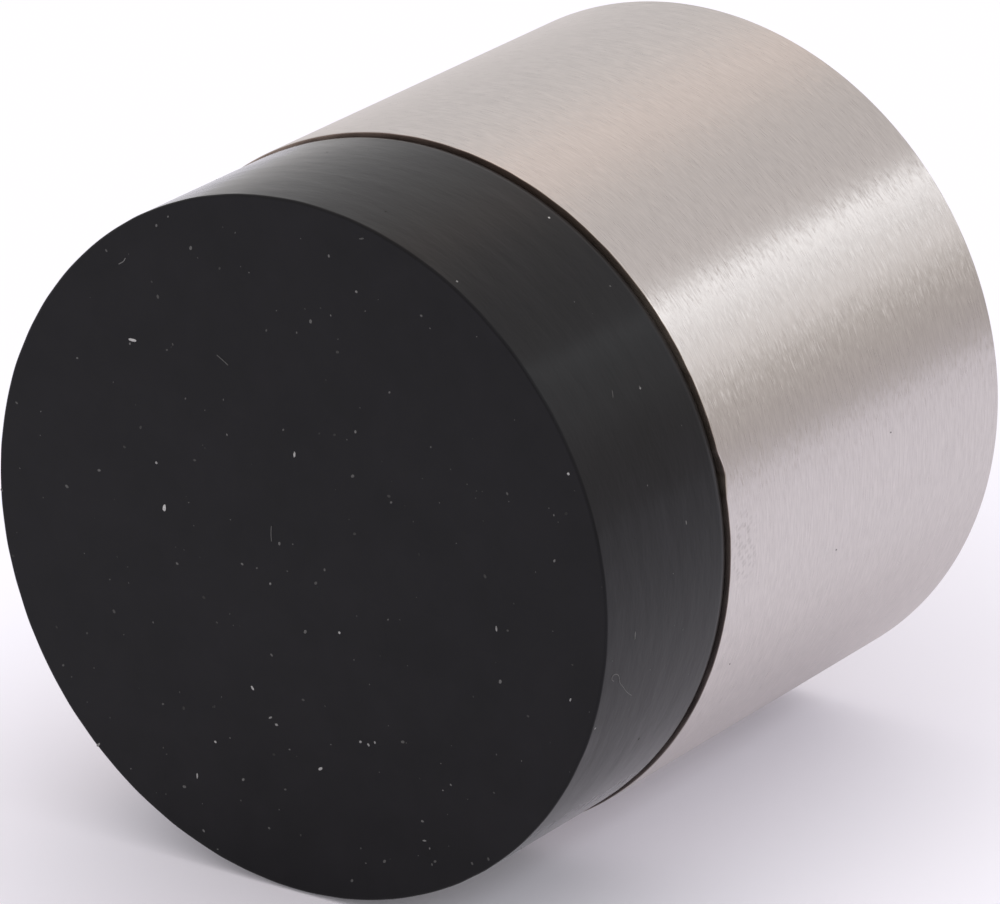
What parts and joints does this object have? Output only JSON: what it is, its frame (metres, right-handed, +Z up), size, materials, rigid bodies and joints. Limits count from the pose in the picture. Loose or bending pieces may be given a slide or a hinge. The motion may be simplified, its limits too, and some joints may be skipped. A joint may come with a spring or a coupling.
{
  "type": "wall door stop",
  "caption": "Short cylindrical wall door stop: a satin steel drum with a thick flat black rubber buffer in front, slipped over a hidden wall boss and locked by a grub screw.",
  "frame": {"origin": "on the stop's own axis, in the plane of the wall that it is fixed to", "axes": "+Y along the stop's axis into the wall, so the rubber faces -Y; +Z up; the grub screw is underneath"},
  "size_m": [0.03, 0.03, 0.03],
  "materials": {
    "satin_steel": "satin, ground round the drum",
    "black_rubber": "matt, dusty",
    "boss_aluminium": "as turned",
    "screw_steel": "plain stainless"
  },
  "bodies": {
    "root": {"steel_body": "satin_steel", "rubber_buffer": "black_rubber", "wall_boss": "boss_aluminium", "grub_screw": "screw_steel"}
  },
  "joints": []
}
